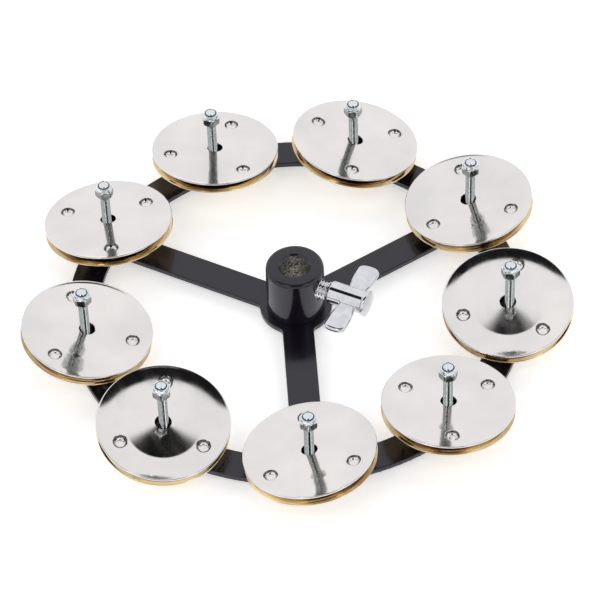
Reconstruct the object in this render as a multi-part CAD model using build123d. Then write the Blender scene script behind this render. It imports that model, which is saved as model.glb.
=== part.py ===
"""Hi-hat tambourine: nine pairs of jingles on a flat steel ring that clamps on a cymbal-stand rod.

Frame: millimetres, +Z up. The origin is on the axis of the rod bore, at the underside of the
ring plate. Bolt station 1 is toward -Y and the stations are numbered counter-clockwise.
"""
from build123d import *
from math import cos, hypot, radians, sin, sqrt, tan
import os

# ---- plate: ring, three spokes and a centre disc cut from one sheet
PLATE_T = 2.5
RING_OUTER_R = 95.0
RING_INNER_R = 82.0
BOLT_CIRCLE_R = (RING_OUTER_R + RING_INNER_R) / 2
SPOKE_W = 13.0
CENTRE_DISC_R = 15.0
SPOKE_FILLET_R = 3.0
PLATE_EDGE_R = 0.4
STATIONS = 9
STATION_STEP = 360 / STATIONS
FIRST_STATION = -90.0
SPOKE_STATIONS = (0, 3, 6)

# ---- hub collar
ROD_R = 6.0
HUB_R = 12.0
HUB_TOP = 26.0
HUB_SPIGOT_R = 8.0
HUB_EDGE_R = 1.6
BORE_CHAMFER = 0.6

# ---- wing screw, an M8 coarse thread
SCREW_AZIMUTH = -29.0
SCREW_Z = 17.2
SCREW_R = 4.0
SCREW_CLEAR = 0.05
SCREW_TIP_GAP = 0.1
SCREW_TIP_CHAMFER = 0.6
BOSS_START = 15.6
BOSS_LENGTH = 18.2
BOSS_R = 4.85
BOSS_END_R = 5.5
BOSS_FLANGE_T = 1.6
BOSS_DOME = 0.9
BOSS_NOSE = 1.0
SHANK_R = 3.0
SHANK_DEPTH = 12.0
WING_CENTRE = 25.8
WING_HALF_SPAN = 19.0
WING_W = 8.6
WING_T = 2.6
WING_CORNER_R = 3.0
WING_EDGE_R = 0.7

# ---- M4 bolts, clamp nuts, spacer sleeves and prevailing-torque lock nuts
BOLT_R = 2.0
BOLT_LENGTH = 35.0
BOLT_TIP_CHAMFER = 0.4
HEAD_R = 4.0
HEAD_H = 3.0
HEAD_EDGE_R = 1.4
RECESS_SPAN = 4.4
RECESS_W = 1.0
RECESS_DEPTH = 1.6
BOLT_HOLE_R = 2.15
NUT_FLATS = 7.0
CLAMP_NUT_H = 3.2
SLEEVE_R = 3.5
SLEEVE_H = 2.3
LOCK_NUT_H = 5.0
LOCK_NUT_HEX_H = 3.5
LOCK_COLLAR_R = 3.1
LOCK_LIP_T = 0.35
INSERT_R = 2.7
INSERT_H = 1.2
BOLT_PROUD = 0.5

# ---- jingles: a raised cone, a bend, a nearly flat band and a brim that curls up
JINGLE_R = 27.0
JINGLE_HOLE_R = 3.25
CONE_END_R = 15.2
CONE_ANGLE = -5.0
BAND_START_R = 17.0
BAND_ANGLE = 2.6
BRIM_START_R = 22.2
BRIM_ANGLE = 21.8
SHEET_T = 0.8
DIMPLE_PITCH_R = 19.2
DIMPLE_R = 2.9
DIMPLE_DEPTH = 1.1
DIMPLES = 3
PAIR_GAP = 1.05
REST_CLEARANCE = 0.15

# How each loose pair has settled, station by station: the lean of its axis toward +X and toward
# +Y in degrees, its shift on the bolt along X and Y in mm, and how far it has turned in degrees.
RESTING = (
    (-6.8, 6.0, 0.3, 0.7, 93),
    (1.8, 6.0, 0.3, 0.7, 29),
    (-2.0, -8.6, -0.7, -0.3, 72),
    (-7.1, 1.5, -0.6, -0.7, 94),
    (9.4, 5.7, 0.4, -0.7, 21),
    (1.2, 9.8, 0.9, -0.2, 66),
    (-2.5, 9.6, 0.6, 0.5, 33),
    (9.0, 0.4, 0.5, -0.7, 106),
    (3.9, -9.2, -0.4, -0.6, 85),
)

NUT_CORNER_R = NUT_FLATS / 2 / cos(radians(30))
CLAMP_NUT_TOP = PLATE_T + CLAMP_NUT_H
SLEEVE_TOP = CLAMP_NUT_TOP + SLEEVE_H
LOCK_NUT_Z = BOLT_LENGTH - BOLT_PROUD - LOCK_NUT_H


def station_angle(index):
    """Azimuth of a bolt station in degrees."""
    return FIRST_STATION + index * STATION_STEP


def station_point(index, z=0.0):
    """Point on a bolt's axis."""
    angle = radians(station_angle(index))
    return Vector(BOLT_CIRCLE_R * cos(angle), BOLT_CIRCLE_R * sin(angle), z)


def tube(outer_r, inner_r, z0, z1):
    """Plain round tube on the Z axis."""
    height = z1 - z0
    ring = Circle(outer_r) - Circle(inner_r)
    return extrude(Pos(0, 0, z0) * ring, height)


def rod(radius, z0, z1):
    """Plain round bar on the Z axis."""
    return extrude(Pos(0, 0, z0) * Circle(radius), z1 - z0)


def at_stations(solid):
    """One copy of a solid on every bolt axis, as a single group."""
    copies = [Pos(station_point(i)) * Rot(0, 0, station_angle(i)) * solid for i in range(STATIONS)]
    return Compound(children=[copy.solid() for copy in copies])


# ---- frame ---------------------------------------------------------------------------------

def make_frame_plate():
    """Ring, three spokes and centre disc as one flat plate, with its holes."""
    outline = Circle(RING_OUTER_R) - Circle(RING_INNER_R) + Circle(CENTRE_DISC_R)
    reach = BOLT_CIRCLE_R
    for index in SPOKE_STATIONS:
        outline += Rot(0, 0, station_angle(index)) * Pos(reach / 2, 0) * Rectangle(reach, SPOKE_W)
    corners = [v for v in outline.vertices() if on_spoke_corner(v)]
    outline = fillet(corners, SPOKE_FILLET_R)
    plate = extrude(outline, PLATE_T)
    flat_edges = plate.edges().filter_by_position(Axis.Z, 0, 0) + plate.edges().filter_by_position(
        Axis.Z, PLATE_T, PLATE_T)
    plate = fillet(flat_edges, PLATE_EDGE_R)
    plate -= rod(HUB_SPIGOT_R, -1, PLATE_T + 1)
    for index in range(STATIONS):
        plate -= Pos(station_point(index)) * rod(BOLT_HOLE_R, -1, PLATE_T + 1)
    return plate


def on_spoke_corner(vertex):
    """True where a spoke's side meets the ring or the centre disc."""
    radius = hypot(vertex.X, vertex.Y)
    return min(abs(radius - RING_INNER_R), abs(radius - CENTRE_DISC_R)) < 0.01


def screw_place(distance):
    """Frame on the wing screw's axis: local Z points outward, local X is level."""
    angle = radians(SCREW_AZIMUTH)
    outward = Vector(cos(angle), sin(angle), 0)
    level = Vector(-sin(angle), cos(angle), 0)
    origin = outward * distance + Vector(0, 0, SCREW_Z)
    return Plane(origin=origin, x_dir=level, z_dir=outward).location


def make_hub_collar():
    """Round collar with a spigot through the plate, a rod bore and a cross-drilled screw hole."""
    collar = fillet(rod(HUB_R, PLATE_T, HUB_TOP).edges().sort_by(Axis.Z)[-1], HUB_EDGE_R)
    collar += rod(HUB_SPIGOT_R, 0, PLATE_T)
    collar -= rod(ROD_R, -1, HUB_TOP + 1)
    bore_rims = [e for e in collar.edges().filter_by(GeomType.CIRCLE) if abs(e.radius - ROD_R) < 0.01]
    collar = chamfer(ShapeList(bore_rims).sort_by(Axis.Z)[-1], BORE_CHAMFER)
    collar -= screw_place(0) * rod(SCREW_R, 0, HUB_R + 2)
    return collar


# ---- wing screw ----------------------------------------------------------------------------

def make_stud():
    """Threaded stud with the plain shank that the wing head is fitted on."""
    tip = ROD_R + SCREW_TIP_GAP
    shoulder = BOSS_START - SCREW_CLEAR
    thread = rod(SCREW_R - SCREW_CLEAR, tip, shoulder)
    thread = chamfer(thread.edges().sort_by(Axis.Z)[0], SCREW_TIP_CHAMFER)
    shank = rod(SHANK_R - SCREW_CLEAR, shoulder, BOSS_START + SHANK_DEPTH - SCREW_CLEAR)
    return screw_place(0) * (thread + shank)


def make_wing_head():
    """Round boss with two flat wings and a low domed end."""
    nose_r = BOSS_R - BOSS_NOSE
    flange_z = BOSS_LENGTH - BOSS_DOME - BOSS_FLANGE_T
    dome_z = BOSS_LENGTH - BOSS_DOME
    half = make_face(Polyline(
        (0, 0), (nose_r, 0), (BOSS_R, BOSS_NOSE), (BOSS_R, flange_z), (BOSS_END_R, flange_z + 0.6),
        (BOSS_END_R, dome_z)) + ThreePointArc((BOSS_END_R, dome_z), *dome_arc(dome_z))
        + Line((0, BOSS_LENGTH), (0, 0)))
    boss = revolve(Plane.XZ * half, Axis.Z)
    blade = extrude(RectangleRounded(2 * WING_HALF_SPAN, WING_W, WING_CORNER_R), WING_T / 2, both=True)
    blade = fillet(blade.edges().group_by(Axis.Z)[0] + blade.edges().group_by(Axis.Z)[-1], WING_EDGE_R)
    wings = Pos(0, 0, WING_CENTRE - BOSS_START) * Rot(90, 0, 0) * blade
    bore = rod(SHANK_R, -1, SHANK_DEPTH)
    return screw_place(BOSS_START) * (boss + wings - bore)


def dome_arc(dome_z):
    """Middle and end point of the arc that closes the boss."""
    bulge_r = (BOSS_END_R ** 2 + BOSS_DOME ** 2) / (2 * BOSS_DOME)
    middle = BOSS_END_R / 2
    height = sqrt(bulge_r ** 2 - middle ** 2) - (bulge_r - BOSS_DOME)
    return (middle, dome_z + height), (0, BOSS_LENGTH)


# ---- fasteners -----------------------------------------------------------------------------

def make_bolt():
    """Pan-head machine screw, head down, with a cross recess."""
    head = fillet(rod(HEAD_R, -HEAD_H, 0).edges().sort_by(Axis.Z)[0], HEAD_EDGE_R)
    shaft = chamfer(rod(BOLT_R, 0, BOLT_LENGTH).edges().sort_by(Axis.Z)[-1], BOLT_TIP_CHAMFER)
    slot = Pos(0, 0, -HEAD_H) * Box(RECESS_SPAN, RECESS_W, 2 * RECESS_DEPTH)
    return head + shaft - slot - Rot(0, 0, 90) * slot


def hexagon(height):
    """Hexagonal prism with turned corners, standing on z = 0."""
    prism = extrude(RegularPolygon(NUT_CORNER_R, 6), height)
    turned = chamfer(rod(NUT_CORNER_R, 0, height).edges().filter_by(GeomType.CIRCLE), 0.35)
    return prism & turned


def make_clamp_nut():
    """Plain hexagon nut that clamps the bolt to the ring."""
    return Pos(0, 0, PLATE_T) * (hexagon(CLAMP_NUT_H) - rod(BOLT_R, -1, CLAMP_NUT_H + 1))


def make_sleeve():
    """Short plastic sleeve that the pair rests on."""
    return tube(SLEEVE_R, BOLT_R, CLAMP_NUT_TOP, SLEEVE_TOP)


def make_lock_nut():
    """Hexagon nut with a round collar, hollowed for its locking ring."""
    seat_z = LOCK_NUT_H - LOCK_LIP_T - INSERT_H
    collar = fillet(rod(LOCK_COLLAR_R, 0, LOCK_NUT_H).edges().sort_by(Axis.Z)[-1], 0.3)
    nut = hexagon(LOCK_NUT_HEX_H) + collar
    nut -= rod(BOLT_R, -1, LOCK_NUT_H + 1)
    nut -= rod(INSERT_R, seat_z, seat_z + INSERT_H)
    nut -= rod(INSERT_R - 0.25, seat_z, LOCK_NUT_H + 1)
    return Pos(0, 0, LOCK_NUT_Z) * nut


def make_insert():
    """Nylon locking ring held inside the lock nut."""
    seat_z = LOCK_NUT_Z + LOCK_NUT_H - LOCK_LIP_T - INSERT_H
    return tube(INSERT_R, BOLT_R, seat_z, seat_z + INSERT_H)


# ---- jingles -------------------------------------------------------------------------------

def bend_arc(start_r, start_angle, end_r, end_angle):
    """Radius and axis radius of a bend that turns the sheet between two slopes."""
    radius = (end_r - start_r) / (sin(radians(end_angle)) - sin(radians(start_angle)))
    return radius, start_r - radius * sin(radians(start_angle))


def along(start, angle, end_r):
    """Point reached from start at a slope, at another distance from the jingle's axis."""
    return end_r, start[1] + (end_r - start[0]) * tan(radians(angle))


def lifted(point, angle):
    """Point on the sheet's upper face over a point on its underside."""
    return point[0] - SHEET_T * sin(radians(angle)), point[1] + SHEET_T * cos(radians(angle))


def make_jingle():
    """Pressed sheet disc, rim up, underside of its valley on z = 0, three dimples down."""
    bend_r, valley_r = bend_arc(CONE_END_R, CONE_ANGLE, BAND_START_R, BAND_ANGLE)
    cone_end = (CONE_END_R, bend_r * (1 - cos(radians(CONE_ANGLE))))
    band_start = (BAND_START_R, bend_r * (1 - cos(radians(BAND_ANGLE))))
    brim_start = along(band_start, BAND_ANGLE, BRIM_START_R)
    brim_r, brim_axis_r = bend_arc(BRIM_START_R, BAND_ANGLE, JINGLE_R, BRIM_ANGLE)
    brim_centre = (brim_axis_r, brim_start[1] + brim_r * cos(radians(BAND_ANGLE)))
    bend_sweep = BAND_ANGLE - CONE_ANGLE
    brim_sweep = BRIM_ANGLE - BAND_ANGLE
    cone_start = along(cone_end, CONE_ANGLE, JINGLE_HOLE_R)
    cone_top = along(lifted(cone_end, CONE_ANGLE), CONE_ANGLE, JINGLE_HOLE_R)
    brim_under = CenterArc(brim_centre, brim_r, BAND_ANGLE - 90, brim_sweep)
    brim_over = CenterArc(brim_centre, brim_r - SHEET_T, BAND_ANGLE - 90, brim_sweep)
    section = make_face([
        Line(cone_start, cone_end),
        CenterArc((valley_r, bend_r), bend_r, CONE_ANGLE - 90, bend_sweep),
        Line(band_start, brim_start),
        brim_under,
        Line(brim_under @ 1, brim_over @ 1),
        brim_over,
        Line(lifted(brim_start, BAND_ANGLE), lifted(band_start, BAND_ANGLE)),
        CenterArc((valley_r, bend_r), bend_r - SHEET_T, CONE_ANGLE - 90, bend_sweep),
        Line(lifted(cone_end, CONE_ANGLE), cone_top),
        Line(cone_top, cone_start),
    ])
    sheet = revolve(Plane.XZ * section, Axis.Z)
    ball_r = (DIMPLE_R ** 2 + DIMPLE_DEPTH ** 2) / (2 * DIMPLE_DEPTH)
    surface = along(lifted(band_start, BAND_ANGLE), BAND_ANGLE, DIMPLE_PITCH_R)[1]
    centre = Pos(DIMPLE_PITCH_R, 0, surface + ball_r - DIMPLE_DEPTH)
    below = Pos(DIMPLE_PITCH_R, 0, surface - SHEET_T / 2) * Rot(180, 0, 0) * rod(2 * DIMPLE_R, 0, 4)
    bump = (centre * Sphere(ball_r + SHEET_T)) & below
    hollow = centre * Sphere(ball_r)
    for turn in range(DIMPLES):
        sheet += Rot(0, 0, turn * 360 / DIMPLES) * bump
    for turn in range(DIMPLES):
        sheet -= Rot(0, 0, turn * 360 / DIMPLES) * hollow
    return sheet


def cone_rise():
    """Height of the underside at the hole over the valley."""
    bend_r, _ = bend_arc(CONE_END_R, CONE_ANGLE, BAND_START_R, BAND_ANGLE)
    cone_end = (CONE_END_R, bend_r * (1 - cos(radians(CONE_ANGLE))))
    return along(cone_end, CONE_ANGLE, JINGLE_HOLE_R)[1]


def pair_place(index):
    """Frame in the middle of a pair's gap: local Z is the pair's own axis."""
    lean_x, lean_y, shift_x, shift_y, spin = RESTING[index]
    slope_x = tan(radians(lean_x))
    slope_y = tan(radians(lean_y))
    steepness = hypot(slope_x, slope_y)
    along_axis = sqrt(1 + steepness ** 2)
    underside = SLEEVE_TOP + REST_CLEARANCE + SLEEVE_R * steepness
    middle = underside + (cone_rise() + SHEET_T + PAIR_GAP / 2) * along_axis
    shift = Vector(shift_x, shift_y, -slope_x * shift_x - slope_y * shift_y)
    centre = station_point(index, middle) + shift
    plane = Plane(origin=centre, x_dir=Vector(1, 0, -slope_x), z_dir=Vector(slope_x, slope_y, 1))
    return plane.location * Rot(0, 0, spin)


def place_pair(index, jingle):
    """Lower and upper jingle of a station, back to back, dimples staggered by half a pitch."""
    upper = pair_place(index) * Pos(0, 0, PAIR_GAP / 2) * jingle
    stagger = Rot(0, 0, 180 / DIMPLES)
    lower = pair_place(index) * stagger * Rot(180, 0, 0) * Pos(0, 0, PAIR_GAP / 2) * jingle
    return lower, upper


def build_nodes():
    """Every named piece of the tambourine."""
    nodes = {
        "frame_plate": make_frame_plate(),
        "hub_collar": make_hub_collar(),
        "wing_screw_stud": make_stud(),
        "wing_head": make_wing_head(),
        "jingle_bolts": at_stations(make_bolt()),
        "clamp_nuts": at_stations(make_clamp_nut()),
        "spacer_sleeves": at_stations(make_sleeve()),
        "lock_nuts": at_stations(make_lock_nut()),
        "nylon_inserts": at_stations(make_insert()),
    }
    jingle = make_jingle()
    for index in range(STATIONS):
        lower, upper = place_pair(index, jingle)
        nodes[f"lower_jingle_{index + 1}"] = lower
        nodes[f"upper_jingle_{index + 1}"] = upper
    return nodes


os.makedirs("parts", exist_ok=True)
for node_name, shape in build_nodes().items():
    shape.label = node_name
    export_step(shape, f"parts/{node_name}.step")
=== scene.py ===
"""Looks of the hi-hat tambourine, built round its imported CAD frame. Lengths are in metres."""
from math import cos, hypot, pi, radians, sin, sqrt, tan

import bmesh
import bpy
import numpy as np
from mathutils import Matrix, Vector


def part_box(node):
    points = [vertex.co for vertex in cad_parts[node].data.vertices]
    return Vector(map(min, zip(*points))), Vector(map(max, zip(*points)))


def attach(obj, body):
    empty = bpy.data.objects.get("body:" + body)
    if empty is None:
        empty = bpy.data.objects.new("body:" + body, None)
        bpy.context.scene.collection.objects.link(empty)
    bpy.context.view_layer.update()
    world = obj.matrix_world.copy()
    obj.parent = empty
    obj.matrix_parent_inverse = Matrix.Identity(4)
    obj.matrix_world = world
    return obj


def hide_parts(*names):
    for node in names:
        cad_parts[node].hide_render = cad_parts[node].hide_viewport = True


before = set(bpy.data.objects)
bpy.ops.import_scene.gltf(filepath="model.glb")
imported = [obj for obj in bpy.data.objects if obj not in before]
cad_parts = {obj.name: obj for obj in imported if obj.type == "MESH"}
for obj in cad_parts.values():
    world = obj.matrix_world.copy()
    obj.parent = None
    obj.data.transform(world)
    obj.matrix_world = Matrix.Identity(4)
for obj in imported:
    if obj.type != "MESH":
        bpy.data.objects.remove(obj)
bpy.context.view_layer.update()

MM = 0.001

# ---- driving sizes in millimetres, the same as in the CAD model
STATIONS = 9
FIRST_STATION = -90.0
BOLT_CIRCLE_R = 88.5

JINGLE_R = 27.0
JINGLE_HOLE_R = 3.25
SHEET_T = 0.8
DIMPLES = 3
DIMPLE_PITCH_R = 19.2
DIMPLE_R = 2.9
DIMPLE_DEPTH = 1.1

BOLT_R = 2.0
HEAD_R = 4.0
HEAD_H = 3.0
NUT_FLATS = 7.0
NUT_HEX_H = 3.5
NUT_COLLAR_R = 3.1

HUB_R = 12.0
HUB_SPIGOT_R = 8.0
HUB_EDGE_R = 1.6
ROD_R = 6.0
PLATE_T = 2.5

SCREW_AZIMUTH = -29.0
SCREW_Z = 17.2
BOSS_START = 15.6
BOSS_LENGTH = 18.2
BOSS_R = 4.85
BOSS_END_R = 5.5
WING_CENTRE = 25.8
WING_HALF_SPAN = 19.0
WING_W = 8.6
WING_T = 2.6

# ---- sizes that only the looks have, or that differ a little from the CAD model's
# radius and slope of the pressed sheet: a raised cone, a bend, a nearly flat band, a curled brim
SHEET_SLOPES = ((15.2, -0.0875), (17.0, 0.02), (20.5, 0.05), (22.5, 0.09), (25.4, 0.21),
                (27.0, 0.42))
PIT_DEPTH = 1.4
PIT_FLAT_SHARE = 0.55
PIT_WALL_SHARE = 0.5
# share of a pocket's radius where its lip gets a dark painted shade
LIP_SHARES = (0.80, 1.03)
BOLT_PITCH = 0.7
HEAD_EDGE_R = 1.5
NUT_BEVEL_H = 0.42
NUT_BEVEL_ANGLE = 30.0
BORE_CHAMFER = 0.7
SCREW_R = 3.95
SCREW_PITCH = 1.25
SHANK_R = 2.9
CROSS_HOLE_R = 4.02
BOSS_HOLE_R = 3.02
WING_ROOT_HALF = 3.4
WING_END_HALF = WING_W / 2 + 0.3
WING_CORNER = 3.0
WING_ROUNDNESS = 2.6

# ---- camera and studio
CAMERA_AZIMUTH = -2.086
CAMERA_ELEVATION = 47.79
CAMERA_ROLL = -2.10
CAMERA_DISTANCE = 1.419
CAMERA_LENS = 206.47
CAMERA_TARGET = (0.00154, -0.00503, 0.01035)
FLOOR_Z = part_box("jingle_bolts")[0].z
BOLT_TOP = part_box("jingle_bolts")[1].z / MM
SKY_COLOUR = (0.985, 0.995, 1.02)
SKY_LEVEL = 1.0
SKY_DARKNESS = 0.99
# where a direction meets a ceiling one unit up: start, end and blur, northward and eastward
STRIP = ((-0.20, 0.30, 0.03), (-0.75, 0.75, 0.08))
ROOM = ((-1.3, -0.36, 0.04), (-0.5, 0.5, 0.08))


# ==== meshes ================================================================================

def add_object(name, mesh, matrix=None):
    """New object in the scene, placed by a matrix."""
    obj = bpy.data.objects.new(name, mesh)
    bpy.context.scene.collection.objects.link(obj)
    if matrix is not None:
        obj.matrix_world = matrix
    return obj


def smooth(mesh, angle=35.0):
    """Smooth shading that keeps edges sharper than the angle."""
    mesh.polygons.foreach_set("use_smooth", [True] * len(mesh.polygons))
    mesh.set_sharp_from_angle(angle=radians(angle))
    mesh.update()
    return mesh


def skin(name, rows, closed=False, angle=35.0):
    """Closed mesh over rows of points round an axis, in millimetres. A closed one has a hole
    through it, and an open one is capped by a point at each end."""
    rows = np.asarray(rows, float) * MM
    count, around = rows.shape[:2]
    verts = rows.reshape(-1, 3).tolist()
    faces = []
    for i in range(count if closed else count - 1):
        a = i * around
        b = (i + 1) % count * around
        for j in range(around):
            k = (j + 1) % around
            faces.append((a + j, a + k, b + k, b + j))
    if not closed:
        first = len(verts)
        verts.append(rows[0].mean(0).tolist())
        verts.append(rows[-1].mean(0).tolist())
        last_row = (count - 1) * around
        for j in range(around):
            k = (j + 1) % around
            faces.append((first, k, j))
            faces.append((first + 1, last_row + j, last_row + k))
    mesh = bpy.data.meshes.new(name)
    mesh.from_pydata(verts, [], faces)
    fix_normals(mesh)
    return smooth(mesh, angle)


def fix_normals(mesh):
    """Faces turned to point outward."""
    work = bmesh.new()
    work.from_mesh(mesh)
    bmesh.ops.recalc_face_normals(work, faces=work.faces)
    work.to_mesh(mesh)
    work.free()


def ring(radius, z, angles):
    """One row of points: the radius may vary round the axis."""
    radius = np.broadcast_to(radius, angles.shape)
    height = np.broadcast_to(z, angles.shape)
    return np.stack([radius * np.cos(angles), radius * np.sin(angles), height], 1)


def even_angles(count):
    return np.arange(count) * 2 * pi / count


def lathe(name, outline, count=96, closed=False, angle=35.0):
    """Turned solid from (radius, height) points."""
    angles = even_angles(count)
    return skin(name, [ring(r, z, angles) for r, z in outline], closed, angle)


def arc(centre_r, centre_z, radius, start, end, steps=6):
    """Points along a quarter-round or other arc of an outline, in degrees."""
    turns = np.radians(np.linspace(start, end, steps))
    return [(centre_r + radius * cos(t), centre_z + radius * sin(t)) for t in turns]


def evaluated_copy(obj, name):
    """Mesh of an object with its modifiers applied; the object itself is removed."""
    graph = bpy.context.evaluated_depsgraph_get()
    mesh = bpy.data.meshes.new_from_object(obj.evaluated_get(graph))
    mesh.name = name
    bpy.data.objects.remove(obj)
    return mesh


def join_meshes(name, meshes):
    """One mesh from several closed shells."""
    work = bmesh.new()
    for mesh in meshes:
        work.from_mesh(mesh)
    result = bpy.data.meshes.new(name)
    work.to_mesh(result)
    work.free()
    return result


def cut(mesh, cutter_mesh, name):
    """The first mesh with the second taken away."""
    body = add_object("cut_body", mesh)
    cutter = add_object("cut_tool", cutter_mesh)
    change = body.modifiers.new("cut", "BOOLEAN")
    change.operation = "DIFFERENCE"
    change.solver = "EXACT"
    change.object = cutter
    bpy.context.view_layer.update()
    result = evaluated_copy(body, name)
    bpy.data.objects.remove(cutter)
    return result


# ==== jingles ===============================================================================

def sheet_height(radius):
    """Height of the sheet's underside over its valley, from the slopes."""
    steps = np.linspace(0, JINGLE_R, 400)
    stops = np.array(SHEET_SLOPES)
    slope = np.interp(steps, stops[:, 0], stops[:, 1])
    height = np.concatenate([[0], np.cumsum((slope[1:] + slope[:-1]) / 2 * np.diff(steps))])
    return np.interp(radius, steps, height - height.min())


def jingle_angles():
    """Angles round a jingle in radians, close together at the dimples."""
    half = 10.5
    near = np.linspace(-half, half, 29)
    far = np.linspace(half, 360 / DIMPLES - half, 36)[1:-1]
    one = np.concatenate([near, far])
    return np.radians(np.concatenate([one + turn * 360 / DIMPLES for turn in range(DIMPLES)]))


def press_dimples(points, depth):
    """Points of the sheet with round pockets pressed into it. The depth is a function of how far
    a point is from a pocket's centre, as a share of its radius, and the points nearest the rim of
    a pocket are moved onto it."""
    snap = 0.16
    for turn in range(DIMPLES):
        angle = turn * 2 * pi / DIMPLES
        centre = np.array([cos(angle), sin(angle)]) * DIMPLE_PITCH_R
        away = points[..., :2] - centre
        distance = np.linalg.norm(away, axis=-1)
        on_edge = np.abs(distance - DIMPLE_R) < snap
        scale = np.where(on_edge, DIMPLE_R / np.maximum(distance, 1e-6), 1.0)
        points[..., :2] = centre + away * scale[..., None]
        share = np.where(on_edge, 1.0, distance / DIMPLE_R)
        points[..., 2] -= depth(share)
    return points


def on_lip(spot, normal):
    """1 for the lips of the pockets, which get the painted shade, 0 for the rest of a jingle."""
    for turn in range(DIMPLES):
        angle = turn * 2 * pi / DIMPLES
        away = hypot(spot.x - cos(angle) * DIMPLE_PITCH_R, spot.y - sin(angle) * DIMPLE_PITCH_R)
        if LIP_SHARES[0] < away / DIMPLE_R < LIP_SHARES[1]:
            return 1
    return 0


def pit_depth(share):
    """Flat-bottomed pocket with a rounded lip, on the side of the punch."""
    reach = np.clip((share - PIT_FLAT_SHARE) / PIT_WALL_SHARE, 0.0, 1.0)
    return PIT_DEPTH * (0.5 + 0.5 * np.cos(pi * reach))


def bump_depth(share):
    """Round bump on the far side."""
    return DIMPLE_DEPTH * (1 - np.minimum(share, 1.0) ** 2)


def jingle_mesh():
    """Pressed disc with its rim up and the valley's underside on z = 0."""
    angles = jingle_angles()
    edge = SHEET_T / 2
    brim_end = JINGLE_R - edge
    radii = np.concatenate([
        np.linspace(JINGLE_HOLE_R + 0.2, 14.6, 6),
        np.linspace(15.2, 22.2, 26),
        np.linspace(22.6, brim_end, 11)])
    top = np.array([ring(r, sheet_height(r) + SHEET_T, angles) for r in radii])
    under = np.array([ring(r, sheet_height(r), angles) for r in radii])
    press_dimples(top, pit_depth)
    press_dimples(under, bump_depth)
    middle = float(sheet_height(brim_end)) + edge
    rim = [ring(r, z, angles) for r, z in arc(brim_end, middle, edge, 90, -90, 9)[1:-1]]
    hole_z = float(sheet_height(JINGLE_HOLE_R))
    hole = [ring(JINGLE_HOLE_R, hole_z + 0.2, angles),
            ring(JINGLE_HOLE_R, hole_z + SHEET_T - 0.2, angles)]
    rows = list(top) + rim + list(under[::-1]) + hole
    return skin("jingle_disc", rows, closed=True, angle=32.0)


def disc_place(node):
    """Where a CAD jingle lies: its own Z toward its rim, its X through a dimple, its origin in
    the middle of the valley's underside."""
    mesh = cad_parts[node].data
    mesh.calc_loop_triangles()
    verts = np.array([v.co for v in mesh.vertices], float)
    corners = verts[np.array([t.vertices for t in mesh.loop_triangles])]
    middles = corners.mean(1)
    areas = np.linalg.norm(np.cross(corners[:, 1] - corners[:, 0], corners[:, 2] - corners[:, 0]),
                           axis=1)
    centre = (middles * areas[:, None]).sum(0) / areas.sum()
    offsets = middles - centre
    spread = (offsets * areas[:, None]).T @ offsets
    axis = np.linalg.eigh(spread)[1][:, 0]
    height = (verts - centre) @ axis
    radius = np.linalg.norm((verts - centre) - height[:, None] * axis, axis=1)
    rim_height = height[radius > 0.97 * radius.max()].mean()
    axis = axis if rim_height > 0 else -axis
    height = (verts - centre) @ axis
    side = np.cross(axis, [0.0, 1.0, 0.0])
    side /= np.linalg.norm(side)
    other = np.cross(axis, side)
    hole_height = height[radius < 1.1 * JINGLE_HOLE_R * MM].min()
    floor_height = hole_height - float(sheet_height(JINGLE_HOLE_R)) * MM
    low = (offsets @ axis) < floor_height - 0.0004
    turn = np.arctan2(offsets[low] @ other, offsets[low] @ side)
    phase = np.angle((np.exp(1j * DIMPLES * turn) * areas[low]).sum()) / DIMPLES
    x_axis = cos(phase) * side + sin(phase) * other
    y_axis = np.cross(axis, x_axis)
    origin = centre + axis * floor_height
    place = Matrix.Identity(4)
    for column, values in enumerate((x_axis, y_axis, axis, origin)):
        for row in range(3):
            place[row][column] = float(values[row])
    return place


def make_jingles(nickel, brass, pocket_shade):
    """All eighteen discs, each riding on its own body."""
    disc = jingle_mesh()
    disc_low = disc.copy()
    # the pocket lips of both discs get a dark painted shade
    paint(disc, (nickel, pocket_shade), on_lip)
    paint(disc_low, (brass, pocket_shade), on_lip)
    for index in range(1, STATIONS + 1):
        for level, mesh, finish in (("upper", disc, "nickel_jingle"),
                                    ("lower", disc_low, "brass_jingle")):
            node = f"{level}_jingle_{index}"
            obj = add_object(f"{level}_disc_{index}", mesh, disc_place(node))
            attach(obj, f"{level}_{index}")
            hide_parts(node)


# ==== fasteners =============================================================================

def thread_rows(radius, pitch, start, end, around=30, per_turn=8, fade=1.0):
    """Rows of a V thread from one height to another, fading out at both ends."""
    angles = even_angles(around)
    depth = 0.61 * pitch
    rows = []
    for z in np.arange(start, end, pitch / per_turn):
        phase = (z / pitch - angles / (2 * pi)) % 1.0
        groove = np.clip(np.abs(phase - 0.5) * 2 * 1.15 - 0.08, 0, 1)
        strength = min(1.0, (z - start) / fade / pitch, (end - z) / fade / pitch)
        rows.append(ring(radius - depth * (1 - groove) * max(strength, 0.0), z, angles))
    rows.append(ring(radius, end, angles))
    return rows


def cross_cutter():
    """Tapered cross that leaves a screwdriver recess."""
    arm = 2.3
    half = 0.55
    outline = [(half, half), (half, arm), (-half, arm), (-half, half), (-arm, half), (-arm, -half),
               (-half, -half), (-half, -arm), (half, -arm), (half, -half), (arm, -half), (arm, half)]
    rows = []
    for z, scale in ((-HEAD_H - 1.0, 1.15), (-HEAD_H + 1.9, 0.42)):
        rows.append([(x * scale, y * scale, z) for x, y in outline])
    return skin("cross_tool", rows)


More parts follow.
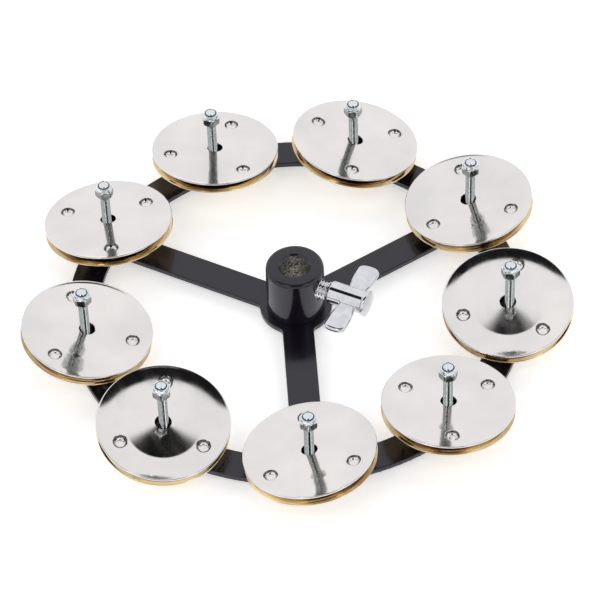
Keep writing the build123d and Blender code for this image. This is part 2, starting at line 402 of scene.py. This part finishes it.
def bolt_mesh():
    """Pan-head machine screw with its head down and a rolled thread."""
    flat_r = HEAD_R - HEAD_EDGE_R
    outline = [(1.0, -HEAD_H), (flat_r, -HEAD_H)]
    outline += arc(flat_r, -HEAD_H + HEAD_EDGE_R, HEAD_EDGE_R, -85, 0, 8)
    outline += [(HEAD_R, -0.25), (HEAD_R - 0.2, 0.0), (1.0, 0.0)]
    head = cut(lathe("pan_head", outline, 72), cross_cutter(), "pan_head_cut")
    rows = thread_rows(BOLT_R, BOLT_PITCH, -0.5, BOLT_TOP - 0.35)
    angles = even_angles(len(rows[0]))
    rows += [ring(BOLT_R - 0.12, BOLT_TOP - 0.3, angles), ring(BOLT_R - 0.42, BOLT_TOP, angles)]
    mesh = join_meshes("jingle_bolt", [head, skin("bolt_thread", rows)])
    return smooth(mesh)


def hexagon_radius(angles, flats):
    """Distance to the side of a hexagon with faintly rounded corners."""
    folded = (angles + pi / 6) % (pi / 3) - pi / 6
    flat = flats / 2 / np.cos(folded)
    corner = flats / 2 / cos(pi / 6) - 0.12
    return -np.log(np.exp(-12 * flat) + np.exp(-12 * corner)) / 12


def nut_rows(height, angles):
    """Rows up the outside of a hexagon nut, turned at its corners."""
    sides = hexagon_radius(angles, NUT_FLATS)
    face_r = NUT_FLATS / 2 - 0.12
    slope = tan(radians(NUT_BEVEL_ANGLE))
    bevels = np.linspace(0, NUT_BEVEL_H, 6)
    rows = [ring(np.minimum(sides, face_r + z / slope), z, angles) for z in bevels]
    rows += [ring(np.minimum(sides, face_r + z / slope), height - z, angles) for z in bevels[::-1]]
    return rows


def lock_nut_mesh():
    """Hexagon nut with a rolled collar that holds a nylon ring."""
    angles = even_angles(96)
    floor, top = (corner.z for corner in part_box("lock_nuts"))
    height = (top - floor) / MM
    insert_low, insert_top = ((corner.z - floor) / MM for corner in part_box("nylon_inserts"))
    insert_r = 2.72
    lip_r = 2.45
    edge_r = 0.45
    rows = [ring(BOLT_R + 0.02, 0.3, angles), ring(BOLT_R + 0.3, 0.0, angles)]
    rows += nut_rows(NUT_HEX_H, angles)
    outline = [(NUT_COLLAR_R + 0.05, NUT_HEX_H), (NUT_COLLAR_R, NUT_HEX_H + 0.1)]
    outline += arc(NUT_COLLAR_R - edge_r, height - edge_r, edge_r, 0, 90, 7)
    outline += [(lip_r + 0.1, height), (lip_r, height - 0.08), (lip_r, insert_top),
                (insert_r, insert_top), (insert_r, insert_low), (BOLT_R + 0.02, insert_low)]
    rows += [ring(r, z, angles) for r, z in outline]
    return skin("lock_nut", rows, closed=True, angle=28.0)


def clamp_nut_mesh():
    """Plain hexagon nut."""
    angles = even_angles(96)
    height = (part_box("clamp_nuts")[1].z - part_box("clamp_nuts")[0].z) / MM
    rows = [ring(BOLT_R + 0.02, 0.3, angles), ring(BOLT_R + 0.3, 0.0, angles)]
    rows += nut_rows(height, angles)
    rows += [ring(BOLT_R + 0.3, height, angles), ring(BOLT_R + 0.02, height - 0.3, angles)]
    return skin("clamp_nut", rows, closed=True, angle=28.0)


def station_matrix(index, z, turn):
    """Place on a bolt's axis, turned about it."""
    angle = radians(FIRST_STATION + index * 360 / STATIONS)
    spot = Vector((cos(angle), sin(angle), 0)) * BOLT_CIRCLE_R * MM
    return Matrix.Translation(spot + Vector((0, 0, z))) @ Matrix.Rotation(radians(turn), 4, "Z")


def paint(mesh, materials, choose):
    """Materials for a mesh, one picked for each face by its middle and normal in millimetres."""
    for material in materials:
        mesh.materials.append(material)
    for face in mesh.polygons:
        face.material_index = choose(face.center / MM, face.normal)


def on_flat(spot, normal):
    """1 for the flats of a nut, which get the darker painted shade, 0 for the rest."""
    return 1 if hypot(spot.x, spot.y) > NUT_FLATS / 2 - 0.05 and abs(normal.z) < 0.3 else 0


def off_tip(spot, normal):
    """0 for the end of a bolt, which keeps the lighter zinc, 1 for its threaded length and head, which
    get the darker painted shade.
    """
    return 0 if spot.z > BOLT_TOP - 0.45 else 1


def make_fasteners(zinc, zinc_painted_shade):
    """Bolts and nuts at the nine stations; each nut stands at its own angle."""
    clamp_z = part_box("clamp_nuts")[0].z
    lock_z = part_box("lock_nuts")[0].z
    kinds = (("bolt", bolt_mesh(), off_tip, "jingle_bolts", 0.0, 53.0),
             ("clamp_nut", clamp_nut_mesh(), on_flat, "clamp_nuts", clamp_z, 23.0),
             ("lock_nut", lock_nut_mesh(), on_flat, "lock_nuts", lock_z, 37.0))
    for name, mesh, choose, node, z, turn in kinds:
        paint(mesh, (zinc, zinc_painted_shade), choose)
        for index in range(STATIONS):
            obj = add_object(f"{name}_{index + 1}", mesh, station_matrix(index, z, turn * index))
            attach(obj, "root")
            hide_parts(node)


# ==== hub and wing screw ====================================================================

def screw_matrix(distance):
    """Place on the wing screw's axis: local Z points outward and local X is level."""
    angle = radians(SCREW_AZIMUTH)
    outward = Vector((cos(angle), sin(angle), 0))
    level = Vector((-sin(angle), cos(angle), 0))
    up = outward.cross(level)
    place = Matrix((level, up, outward)).transposed().to_4x4()
    place.translation = (outward * distance + Vector((0, 0, SCREW_Z))) * MM
    return place


def in_bore_or_hole(spot, normal):
    """1 for the bare bore and cross hole of the hub, 0 for its coated outside."""
    local = screw_matrix(0).inverted() @ (spot * MM) / MM
    in_hole = hypot(local.x, local.y) < 4.4 and local.z > 0
    in_bore = hypot(spot.x, spot.y) < ROD_R + 0.1
    return 1 if in_bore or in_hole else 0


def make_hub(coat, steel):
    """Collar with a rounded top edge, a chamfered bore and a countersunk cross hole."""
    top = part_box("hub_collar")[1].z / MM
    outline = [(ROD_R, 0.0), (ROD_R, 1.0), (ROD_R, 13.0), (ROD_R, top - BORE_CHAMFER)]
    outline += [(ROD_R + BORE_CHAMFER, top)]
    outline += arc(HUB_R - HUB_EDGE_R, top - HUB_EDGE_R, HUB_EDGE_R, 90, 0, 8)
    outline += [(HUB_R, PLATE_T + 0.3), (HUB_R - 0.3, PLATE_T), (HUB_SPIGOT_R, PLATE_T),
                (HUB_SPIGOT_R, 0.0)]
    body = lathe("hub_body", outline, 160, closed=True)
    drill = [(CROSS_HOLE_R, 2.0), (CROSS_HOLE_R, HUB_R - 1.6), (4.75, HUB_R - 0.6), (6.3, HUB_R + 1.5)]
    tool = lathe("hub_tool", drill, 64)
    tool.transform(screw_matrix(0))
    mesh = smooth(cut(body, tool, "hub"), 30.0)
    paint(mesh, (coat, steel), in_bore_or_hole)
    hub = add_object("hub", mesh)
    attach(hub, "root")
    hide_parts("hub_collar")


def make_stud(chrome):
    """Stud with an M8 coarse thread and a plain shank."""
    tip = ROD_R + 0.1
    angles = even_angles(48)
    rows = [ring(SCREW_R - 1.2, tip, angles), ring(SCREW_R - 0.5, tip + 0.5, angles)]
    rows += thread_rows(SCREW_R, SCREW_PITCH, tip + 0.6, BOSS_START - 0.05, len(angles), 10)
    rows += [ring(SHANK_R, BOSS_START - 0.03, angles), ring(SHANK_R, BOSS_START + 11.5, angles)]
    mesh = skin("stud", rows)
    mesh.materials.append(chrome)
    stud = add_object("stud", mesh, screw_matrix(0))
    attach(stud, "screw_stud")
    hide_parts("wing_screw_stud")


def paddle_half_width(x):
    """Half width of a wing: it widens outward and ends in rounded corners."""
    reach = min(max((x - 3.0) / 9.0, 0.0), 1.0)
    width = WING_ROOT_HALF + (WING_END_HALF - WING_ROOT_HALF) * reach * reach * (3 - 2 * reach)
    corner = max((x - WING_HALF_SPAN + WING_CORNER) / WING_CORNER, 0.0)
    return width * max(1 - corner ** WING_ROUNDNESS, 0.0) ** (1 / WING_ROUNDNESS)


def paddle_mesh(side):
    """One flat wing with rounded corners and edges, lying in the screw's level plane."""
    turn = np.linspace(0, pi, 40)
    x = 2.5 + (WING_HALF_SPAN - 2.5) * np.sin(turn / 2) ** 0.9
    half = np.array([paddle_half_width(value) for value in x])
    upper = np.stack([x, half], 1)
    outline = np.concatenate([upper, (upper * [1, -1])[-2::-1]])
    ahead = np.roll(outline, -1, 0) - np.roll(outline, 1, 0)
    inward = np.stack([ahead[:, 1], -ahead[:, 0]], 1)
    inward /= np.maximum(np.linalg.norm(inward, axis=1), 1e-9)[:, None]
    rows = []
    rounding = ((-1.0, 1.0), (-0.8, 0.4), (-0.4, 0.0), (0.4, 0.0), (0.8, 0.4), (1.0, 1.0))
    for level, inset in rounding:
        edge = outline + inward * inset
        thick = level * WING_T / 2 * (1.2 - 0.2 * edge[:, 0] / WING_HALF_SPAN)
        rows.append(np.stack([side * edge[:, 0], thick, edge[:, 1] + WING_CENTRE - BOSS_START], 1))
    return skin("paddle", rows)


def boss_mesh():
    """Turned boss with a chamfered nose, a flange, a low dome and a hole for the stud's shank."""
    flange = BOSS_LENGTH - 2.5
    outline = [(BOSS_HOLE_R, 0.3), (3.3, 0.0), (BOSS_R - 1.0, 0.0), (BOSS_R, 1.0), (BOSS_R, flange)]
    outline += [(BOSS_END_R - 0.2, flange + 0.2), (BOSS_END_R, flange + 0.5),
                (BOSS_END_R, BOSS_LENGTH - 1.1), (BOSS_END_R - 0.3, BOSS_LENGTH - 0.7)]
    bulge = 17.0
    for part in (0.8, 0.6, 0.4, 0.2, 0.05):
        reach = BOSS_END_R * part
        outline.append((reach, BOSS_LENGTH - (bulge - sqrt(bulge ** 2 - reach ** 2))))
    outline += [(0.2, 12.0), (BOSS_HOLE_R, 12.0)]
    return lathe("boss", outline, 72, closed=True)


def on_end_cap(spot, normal):
    """1 for the dull cast end of the boss, 0 for the rest of the head."""
    return 1 if spot.z > BOSS_LENGTH - 0.8 else 0


def make_wing_head(chrome, cast):
    """Cast head: boss and wings melted into one skin, then smoothed."""
    solid = add_object("wing_rough", join_meshes("wing_rough", [
        boss_mesh(), paddle_mesh(1), paddle_mesh(-1)]))
    melt = solid.modifiers.new("melt", "REMESH")
    melt.mode = "VOXEL"
    melt.voxel_size = 0.2 * MM
    soften = solid.modifiers.new("soften", "SMOOTH")
    soften.factor = 0.5
    soften.iterations = 5
    bpy.context.view_layer.update()
    mesh = evaluated_copy(solid, "wing_head_cast")
    mesh.polygons.foreach_set("use_smooth", [True] * len(mesh.polygons))
    paint(mesh, (chrome, cast), on_end_cap)
    head = add_object("wing", mesh, screw_matrix(BOSS_START))
    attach(head, "screw_head")
    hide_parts("wing_head")


# ==== materials =============================================================================

class Finish:
    """Node material with a few short ways to vary its shader."""

    def __init__(self, name, colour, metallic, roughness):
        self.material = bpy.data.materials.new(name)
        self.material.use_nodes = True
        self.nodes = self.material.node_tree.nodes
        self.links = self.material.node_tree.links
        self.shader = self.nodes["Principled BSDF"]
        self.set("Base Color", (*colour, 1.0))
        self.set("Metallic", metallic)
        self.set("Roughness", roughness)
        self.coords = self.nodes.new("ShaderNodeTexCoord").outputs["Object"]

    def set(self, socket, value):
        self.shader.inputs[socket].default_value = value

    def shifted(self):
        """Object coordinates moved by the object's place, so that copies differ."""
        info = self.nodes.new("ShaderNodeObjectInfo")
        add = self.nodes.new("ShaderNodeVectorMath")
        self.links.new(self.coords, add.inputs[0])
        self.links.new(info.outputs["Location"], add.inputs[1])
        return add.outputs[0]

    def noise(self, size, detail=3.0, coords=None, stretch=None):
        """Noise whose features are about size metres across."""
        source = coords or self.coords
        if stretch:
            mapping = self.nodes.new("ShaderNodeMapping")
            mapping.inputs["Scale"].default_value = stretch
            self.links.new(source, mapping.inputs["Vector"])
            source = mapping.outputs[0]
        node = self.nodes.new("ShaderNodeTexNoise")
        node.inputs["Scale"].default_value = 1.0 / size
        node.inputs["Detail"].default_value = detail
        self.links.new(source, node.inputs["Vector"])
        return node.outputs["Fac"]

    def spread(self, value, low, high, start=0.3, end=0.7):
        """A value between start and end stretched over low to high."""
        node = self.nodes.new("ShaderNodeMapRange")
        for socket, number in (("From Min", start), ("From Max", end), ("To Min", low), ("To Max", high)):
            node.inputs[socket].default_value = number
        self.links.new(value, node.inputs["Value"])
        return node.outputs["Result"]

    def blend(self, value, first, second):
        """Colour that goes from first to second with a value."""
        node = self.nodes.new("ShaderNodeMix")
        node.data_type = "RGBA"
        node.inputs[6].default_value = (*first, 1.0)
        node.inputs[7].default_value = (*second, 1.0)
        self.links.new(value, node.inputs[0])
        return node.outputs[2]

    def drive(self, socket, value):
        self.links.new(value, self.shader.inputs[socket])

    def bump(self, value, strength, distance):
        node = self.nodes.new("ShaderNodeBump")
        node.inputs["Strength"].default_value = strength
        node.inputs["Distance"].default_value = distance
        self.links.new(value, node.inputs["Height"])
        self.links.new(node.outputs["Normal"], self.shader.inputs["Normal"])


def nickel_finish():
    finish = Finish("nickel", (0.815, 0.76, 0.70), 1.0, 0.1)
    place = finish.shifted()
    cloud = finish.noise(0.022, 6.0, place)
    smear = finish.noise(0.004, 5.0, place, (1.0, 0.25, 1.0))
    finish.drive("Base Color", finish.blend(finish.spread(cloud, 0, 1), (0.735, 0.705, 0.69),
                                            (0.84, 0.80, 0.765)))
    finish.drive("Roughness", finish.spread(smear, 0.06, 0.13))
    finish.bump(finish.noise(0.012, 2.0, place), 0.02, 0.0004)
    return finish.material


def brass_finish():
    finish = Finish("brass", (0.88, 0.78, 0.58), 1.0, 0.14)
    place = finish.shifted()
    brim_dark_patches = finish.noise(0.022, 4.0, place)
    # random dark brown patches: painted reflection of dark surroundings in the brim
    finish.drive("Base Color", finish.blend(finish.spread(brim_dark_patches, 0, 1, 0.36, 0.66),
                                            (0.92, 0.77, 0.50), (0.40, 0.26, 0.13)))
    finish.drive("Roughness", finish.spread(brim_dark_patches, 0.08, 0.17))
    return finish.material


def pocket_shade_finish():
    """Dull dark metal painted on the pocket lips as shade, mottled at random."""
    finish = Finish("pocket_shade", (0.14, 0.13, 0.12), 1.0, 0.24)
    shade_mottle = finish.noise(0.0008, 4.0)
    finish.drive("Base Color", finish.blend(finish.spread(shade_mottle, 0, 1), (0.05, 0.045, 0.04),
                                            (0.20, 0.185, 0.17)))
    return finish.material


def zinc_finish(name, dull, bright):
    finish = Finish(name, bright, 1.0, 0.2)
    place = finish.shifted()
    grain = finish.noise(0.0012, 4.0, place)
    finish.drive("Base Color", finish.blend(finish.spread(grain, 0, 1), dull, bright))
    finish.drive("Roughness", finish.spread(grain, 0.10, 0.22))
    return finish.material


def chrome_finish():
    finish = Finish("chrome", (0.77, 0.77, 0.79), 1.0, 0.07)
    haze = finish.noise(0.003, 4.0)
    finish.drive("Roughness", finish.spread(haze, 0.05, 0.12))
    finish.drive("Base Color", finish.blend(finish.spread(haze, 0, 1), (0.62, 0.62, 0.645),
                                            (0.74, 0.74, 0.76)))
    finish.bump(finish.noise(0.004, 2.0), 0.03, 0.0003)
    return finish.material


def cast_finish():
    finish = Finish("cast_end", (0.66, 0.66, 0.68), 1.0, 0.3)
    grain = finish.noise(0.0015, 4.0)
    finish.drive("Roughness", finish.spread(grain, 0.24, 0.38))
    finish.drive("Base Color", finish.blend(finish.spread(grain, 0, 1), (0.60, 0.60, 0.62),
                                            (0.70, 0.70, 0.72)))
    return finish.material


def coat_finish():
    finish = Finish("powder_coat", (0.008, 0.008, 0.010), 0.0, 0.27)
    mottle = finish.noise(0.02, 4.0)
    grain = finish.noise(0.004, 2.0)
    finish.drive("Base Color", finish.blend(finish.spread(mottle, 0, 1), (0.006, 0.005, 0.008),
                                            (0.011, 0.009, 0.016)))
    finish.drive("Roughness", finish.spread(grain, 0.14, 0.20))
    finish.set("Specular IOR Level", 0.6)
    finish.set("Specular Tint", (0.93, 0.91, 1.0, 1.0))
    finish.bump(finish.noise(0.006, 2.0), 0.05, 0.0003)
    return finish.material


def steel_finish():
    finish = Finish("bare_steel", (0.42, 0.38, 0.34), 1.0, 0.5)
    pits = finish.noise(0.0009, 6.0)
    finish.drive("Base Color", finish.blend(finish.spread(pits, 0, 1, 0.38, 0.62), (0.17, 0.15, 0.14),
                                            (0.85, 0.81, 0.77)))
    finish.drive("Roughness", finish.spread(pits, 0.62, 0.34))
    finish.bump(pits, 0.6, 0.0004)
    return finish.material


def nylon_shade_finish():
    # painted shade: the nylon ring is coloured dark blue-grey for the shade in the nut's recess
    finish = Finish("nylon", (0.08, 0.11, 0.16), 0.0, 0.4)
    cloud = finish.noise(0.0015, 2.0)
    finish.drive("Base Color", finish.blend(cloud, (0.06, 0.085, 0.13), (0.10, 0.135, 0.19)))
    finish.set("Subsurface Weight", 0.1)
    return finish.material


def rubber_finish():
    finish = Finish("sleeve_plastic", (0.02, 0.02, 0.021), 0.0, 0.55)
    grain = finish.noise(0.0006, 3.0)
    finish.drive("Base Color", finish.blend(grain, (0.016, 0.016, 0.017), (0.028, 0.028, 0.029)))
    finish.drive("Roughness", finish.spread(grain, 0.48, 0.62))
    return finish.material


def dress(node, material):
    """Gives a CAD node its material."""
    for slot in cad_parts[node].material_slots:
        slot.material = material


# ==== studio ================================================================================

def math_node(tree, operation, first, second=None):
    node = tree.nodes.new("ShaderNodeMath")
    node.operation = operation
    for index, value in enumerate((first, second)):
        if value is None:
            continue
        if isinstance(value, (int, float)):
            node.inputs[index].default_value = value
        else:
            tree.links.new(value, node.inputs[index])
    return node.outputs[0]


def soft_step(tree, value, start, end):
    """0 before start, 1 after end, smooth between."""
    node = tree.nodes.new("ShaderNodeMapRange")
    node.interpolation_type = "SMOOTHSTEP"
    node.inputs["From Min"].default_value = start
    node.inputs["From Max"].default_value = end
    tree.links.new(value, node.inputs["Value"])
    return node.outputs["Result"]


def band(tree, value, start, end, blur):
    """1 between start and end, 0 outside, with blurred edges."""
    rise = soft_step(tree, value, start - blur, start + blur)
    fall = soft_step(tree, math_node(tree, "MULTIPLY", value, -1.0), -end - blur, -end + blur)
    return math_node(tree, "MULTIPLY", rise, fall)


def make_sky():
    """Even pale studio light with two dark openings: a strip overhead, and the dark room that
    shows between the lights on the viewer's side."""
    world = bpy.data.worlds.new("studio")
    bpy.context.scene.world = world
    world.use_nodes = True
    tree = world.node_tree
    direction = tree.nodes.new("ShaderNodeTexCoord").outputs["Generated"]
    split = tree.nodes.new("ShaderNodeSeparateXYZ")
    tree.links.new(direction, split.inputs[0])
    height = math_node(tree, "MAXIMUM", split.outputs["Z"], 0.02)
    east = math_node(tree, "DIVIDE", split.outputs["X"], height)
    north = math_node(tree, "DIVIDE", split.outputs["Y"], height)
    openings = [math_node(tree, "MULTIPLY", band(tree, north, *along), band(tree, east, *across))
                for along, across in (STRIP, ROOM)]
    dark = math_node(tree, "MAXIMUM", *openings)
    level = math_node(tree, "SUBTRACT", 1.0, math_node(tree, "MULTIPLY", dark, SKY_DARKNESS))
    background = tree.nodes["Background"]
    background.inputs["Color"].default_value = (*SKY_COLOUR, 1.0)
    strength = math_node(tree, "MULTIPLY", level, SKY_LEVEL)
    tree.links.new(strength, background.inputs["Strength"])


def make_lamp(name, azimuth, elevation, distance, size, power):
    """Soft area lamp aimed at the object."""
    lamp = bpy.data.lights.new(name, "AREA")
    lamp.shape = "SQUARE"
    lamp.size = size
    lamp.energy = power
    lamp.color = (1.0, 0.99, 0.98)
    obj = bpy.data.objects.new(name, lamp)
    bpy.context.scene.collection.objects.link(obj)
    flat = cos(radians(elevation)) * distance
    spot = Vector((flat * sin(radians(azimuth)), -flat * cos(radians(azimuth)),
                   distance * sin(radians(elevation))))
    obj.location = spot
    obj.rotation_euler = (-spot).to_track_quat("-Z", "Y").to_euler()


def make_floor():
    """Plain pale floor that the bolt heads stand on."""
    half = 3.0
    mesh = bpy.data.meshes.new("floor")
    corners = [(-half, -half, FLOOR_Z), (half, -half, FLOOR_Z), (half, half, FLOOR_Z),
               (-half, half, FLOOR_Z)]
    mesh.from_pydata(corners, [], [(0, 1, 2, 3)])
    finish = Finish("floor_white", (0.95, 0.945, 0.935), 0.0, 0.9)
    finish.set("Specular IOR Level", 0.1)
    finish.set("Emission Color", (1.0, 1.0, 1.0, 1.0))
    finish.set("Emission Strength", 0.5)
    mesh.materials.append(finish.material)
    add_object("floor", mesh)


def make_camera():
    """Long-lens camera in front of the object and above it."""
    elevation = radians(CAMERA_ELEVATION)
    azimuth = radians(CAMERA_AZIMUTH)
    back = Vector((sin(azimuth) * cos(elevation), -cos(azimuth) * cos(elevation), sin(elevation)))
    right = Vector((cos(azimuth), sin(azimuth), 0))
    up = back.cross(right)
    roll = radians(CAMERA_ROLL)
    turned_right = right * cos(roll) + up * sin(roll)
    turned_up = up * cos(roll) - right * sin(roll)
    place = Matrix((turned_right, turned_up, back)).transposed().to_4x4()
    place.translation = Vector(CAMERA_TARGET) + back * CAMERA_DISTANCE
    lens = bpy.data.cameras.new("camera")
    lens.lens = CAMERA_LENS
    lens.sensor_width = 36.0
    lens.clip_end = 20.0
    camera = bpy.data.objects.new("camera", lens)
    bpy.context.scene.collection.objects.link(camera)
    camera.matrix_world = place
    bpy.context.scene.camera = camera


# ==== build =================================================================================

make_camera()
make_sky()
make_lamp("key", -38, 58, 1.9, 0.35, 1.6)
make_lamp("fill", 42, 52, 2.0, 0.35, 1.0)
make_floor()
bpy.context.scene.view_settings.view_transform = "Standard"

coat = coat_finish()
steel = steel_finish()
chrome = chrome_finish()
zinc = zinc_finish("zinc", (0.66, 0.70, 0.72), (0.78, 0.82, 0.84))
# darker copy of the zinc: painted shade on the bolt shanks and heads and on the nut flats
zinc_painted_shade = zinc_finish("zinc_painted_shade", (0.27, 0.29, 0.285), (0.46, 0.485, 0.475))
dress("frame_plate", coat)
dress("spacer_sleeves", rubber_finish())
dress("nylon_inserts", nylon_shade_finish())
make_hub(coat, steel)
make_stud(chrome)
make_wing_head(chrome, cast_finish())
make_fasteners(zinc, zinc_painted_shade)
make_jingles(nickel_finish(), brass_finish(), pocket_shade_finish())
